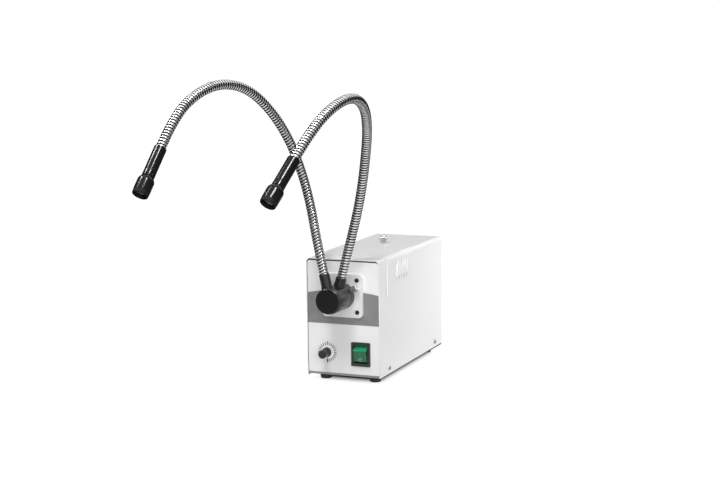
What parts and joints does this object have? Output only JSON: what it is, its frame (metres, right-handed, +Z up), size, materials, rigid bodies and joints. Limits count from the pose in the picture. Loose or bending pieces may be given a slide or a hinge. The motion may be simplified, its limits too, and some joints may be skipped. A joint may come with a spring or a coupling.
{
  "type": "fiber optic illuminator",
  "caption": "Halogen cold-light source box with stay-put metal gooseneck light guides, used to light small work under a microscope.",
  "frame": {"origin": "on the ground plane, under the centre of the case, in the plane the feet rest on", "axes": "+X to the right seen from the front panel, +Y to the rear, +Z up"},
  "size_m": [0.2323, 0.603, 0.4283],
  "materials": {
    "case_paint": "fine satin texture powder coat, off-white",
    "chassis_steel": "satin powder coat, light grey",
    "panel_print": "satin enamel with a printed grey band",
    "black_rubber": "matte",
    "screw_steel": "bright zinc plate",
    "plate_aluminium": "satin anodised",
    "collar_anodised": "black anodised, satin",
    "switch_black": "semi-gloss",
    "rocker_green": "translucent green, glossy",
    "knob_black": "semi-gloss",
    "pot_metal": "satin",
    "nut_nickel": "bright nickel",
    "inlet_black": "fine satin texture",
    "contact_brass": "tin-plated",
    "fuse_glass": "clear tube with plated caps",
    "fan_black": "moulded satin",
    "guard_chrome": "bright plated wire",
    "core_steel": "varnished laminations with an amber-taped coil",
    "board_green": "solder resist",
    "bracket_steel": "bright zinc plate",
    "lamp_glass": "dichroic facets",
    "socket_ceramic": "unglazed ceramic",
    "filter_glass": "clear, faint green",
    "thumb_nickel": "knurled, bright nickel",
    "ferrule_steel": "turned, polished",
    "manifold_black": "black anodised, satin",
    "hose_steel": "polished interlocked strip",
    "fibre_glass": "packed fibre bundle",
    "nozzle_black": "black, glossy",
    "lens_glass": "clear, polished"
  },
  "bodies": {
    "case": {"chassis": "chassis_steel", "front_panel": "panel_print", "cover": "case_paint", "feet": "black_rubber", "screws": "screw_steel", "socket_plate": "plate_aluminium", "socket_collar": "collar_anodised", "switch_body": "switch_black", "pot_body": "pot_metal", "pot_nut": "nut_nickel", "inlet_body": "inlet_black", "inlet_pins": "contact_brass", "selector_body": "inlet_black", "fan_frame": "fan_black", "fan_guard": "guard_chrome", "transformer": "core_steel", "control_board": "board_green", "lamp_bracket": "bracket_steel", "halogen_lamp": "lamp_glass", "lamp_socket": "socket_ceramic", "heat_filter": "filter_glass"},
    "fan_rotor": {"fan_rotor": "fan_black"},
    "rocker": {"rocker": "rocker_green"},
    "knob": {"knob": "knob_black", "knob_shaft": "pot_metal"},
    "fuse_drawer": {"fuse_drawer": "inlet_black", "fuses": "fuse_glass"},
    "selector_slider": {"selector_slider": "inlet_black"},
    "lamp_hatch": {"lamp_hatch": "case_paint"},
    "hatch_screw": {"hatch_screw": "thumb_nickel"},
    "hatch_screw_head": {"hatch_screw_head": "thumb_nickel"},
    "collar_screw": {"collar_screw": "thumb_nickel"},
    "collar_screw_head": {"collar_screw_head": "thumb_nickel"},
    "ferrule": {"ferrule": "ferrule_steel"},
    "manifold": {"manifold": "manifold_black", "arm_collars": "manifold_black", "fibre_trunk": "fibre_glass", "hose_roots": "hose_steel"},
    "left_1": {"hose_left_1": "hose_steel", "fibre_left_1": "fibre_glass"},
    "left_2": {"hose_left_2": "hose_steel", "fibre_left_2": "fibre_glass"},
    "left_3": {"hose_left_3": "hose_steel", "fibre_left_3": "fibre_glass"},
    "left_4": {"hose_left_4": "hose_steel", "fibre_left_4": "fibre_glass", "nozzle_sleeve_left": "nozzle_black", "nozzle_head_left": "nozzle_black", "nozzle_lens_left": "lens_glass"},
    "right_1": {"hose_right_1": "hose_steel", "fibre_right_1": "fibre_glass"},
    "right_2": {"hose_right_2": "hose_steel", "fibre_right_2": "fibre_glass"},
    "right_3": {"hose_right_3": "hose_steel", "fibre_right_3": "fibre_glass"},
    "right_4": {"hose_right_4": "hose_steel", "fibre_right_4": "fibre_glass", "nozzle_sleeve_right": "nozzle_black", "nozzle_head_right": "nozzle_black", "nozzle_lens_right": "lens_glass"}
  },
  "joints": [
    {"name": "fan_spin", "type": "hinge", "parent": "case", "child": "fan_rotor", "pos_m": [0, 0.112, 0.1247], "axis": [0, 1, 0], "continuous": true},
    {"name": "rocker_tilt", "type": "hinge", "parent": "case", "child": "rocker", "pos_m": [0.0261, -0.1236, 0.0427], "axis": [1, 0, 0], "range_deg": [-24, 0]},
    {"name": "knob_turn", "type": "hinge", "parent": "case", "child": "knob", "pos_m": [-0.0247, -0.14, 0.0428], "axis": [0, 1, 0], "range_deg": [-150, 150]},
    {"name": "fuse_drawer_slide", "type": "slide", "parent": "case", "child": "fuse_drawer", "axis": [0, 1, 0], "range_m": [0, 0.022]},
    {"name": "selector_slide", "type": "slide", "parent": "case", "child": "selector_slider", "axis": [1, 0, 0], "range_m": [0, 0.006]},
    {"name": "hatch_lift", "type": "slide", "parent": "case", "child": "lamp_hatch", "axis": [0, 0, 1], "range_m": [0, 0.06]},
    {"name": "hatch_screw_lift", "type": "slide", "parent": "lamp_hatch", "child": "hatch_screw", "axis": [0, 0, 1], "range_m": [0, 0.006]},
    {"name": "hatch_screw_turn", "type": "hinge", "parent": "hatch_screw", "child": "hatch_screw_head", "pos_m": [0, 0.0277, 0.18], "axis": [0, 0, 1], "range_deg": [0, 3090]},
    {"name": "collar_screw_out", "type": "slide", "parent": "case", "child": "collar_screw", "axis": [0.8829, 0, 0.4695], "range_m": [0, 0.003]},
    {"name": "collar_screw_turn", "type": "hinge", "parent": "collar_screw", "child": "collar_screw_head", "pos_m": [0.01761, -0.1369, 0.13407], "axis": [0.8829, 0, 0.4695], "range_deg": [0, 1547]},
    {"name": "guide_pull", "type": "slide", "parent": "case", "child": "ferrule", "axis": [0, -1, 0], "range_m": [0, 0.045]},
    {"name": "guide_turn", "type": "hinge", "parent": "ferrule", "child": "manifold", "pos_m": [0, -0.145, 0.1247], "axis": [0, 1, 0], "range_deg": [-60, 60]},
    {"name": "left_bend_1", "type": "hinge", "parent": "manifold", "child": "left_1", "pos_m": [-0.01309, -0.174, 0.18377], "axis": [0.9763, 0, 0.2164], "range_deg": [-20, 20]},
    {"name": "left_bend_2", "type": "hinge", "parent": "left_1", "child": "left_2", "pos_m": [-0.0425, -0.184, 0.322], "axis": [-0.0715, 0.9555, 0.2861], "range_deg": [-20, 20]},
    {"name": "left_bend_3", "type": "hinge", "parent": "left_2", "child": "left_3", "pos_m": [-0.0835, -0.2735, 0.419], "axis": [0.9468, -0.3133, 0.0729], "range_deg": [-20, 20]},
    {"name": "left_bend_4", "type": "hinge", "parent": "left_3", "child": "left_4", "pos_m": [-0.109, -0.3615, 0.4005], "axis": [-0.1182, -0.5082, 0.8531], "range_deg": [-20, 20]},
    {"name": "right_bend_1", "type": "hinge", "parent": "manifold", "child": "right_1", "pos_m": [0.0143, -0.1514, 0.17625], "axis": [0.9636, 0, -0.2672], "range_deg": [-20, 20]},
    {"name": "right_bend_2", "type": "hinge", "parent": "right_1", "child": "right_2", "pos_m": [0.0565, -0.1845, 0.3045], "axis": [0.1221, 0.9147, 0.3852], "range_deg": [-20, 20]},
    {"name": "right_bend_3", "type": "hinge", "parent": "right_2", "child": "right_3", "pos_m": [0.0885, -0.2765, 0.4005], "axis": [0.998, 0.0599, -0.02], "range_deg": [-20, 20]},
    {"name": "right_bend_4", "type": "hinge", "parent": "right_3", "child": "right_4", "pos_m": [0.0765, -0.365, 0.3845], "axis": [-0.1338, -0.5109, 0.8492], "range_deg": [-20, 20]}
  ],
  "couplings": [
    {"joint": "hatch_screw_turn", "follows": "hatch_screw_lift", "rad_per_m": 8976},
    {"joint": "collar_screw_turn", "follows": "collar_screw_out", "rad_per_m": 8976}
  ]
}
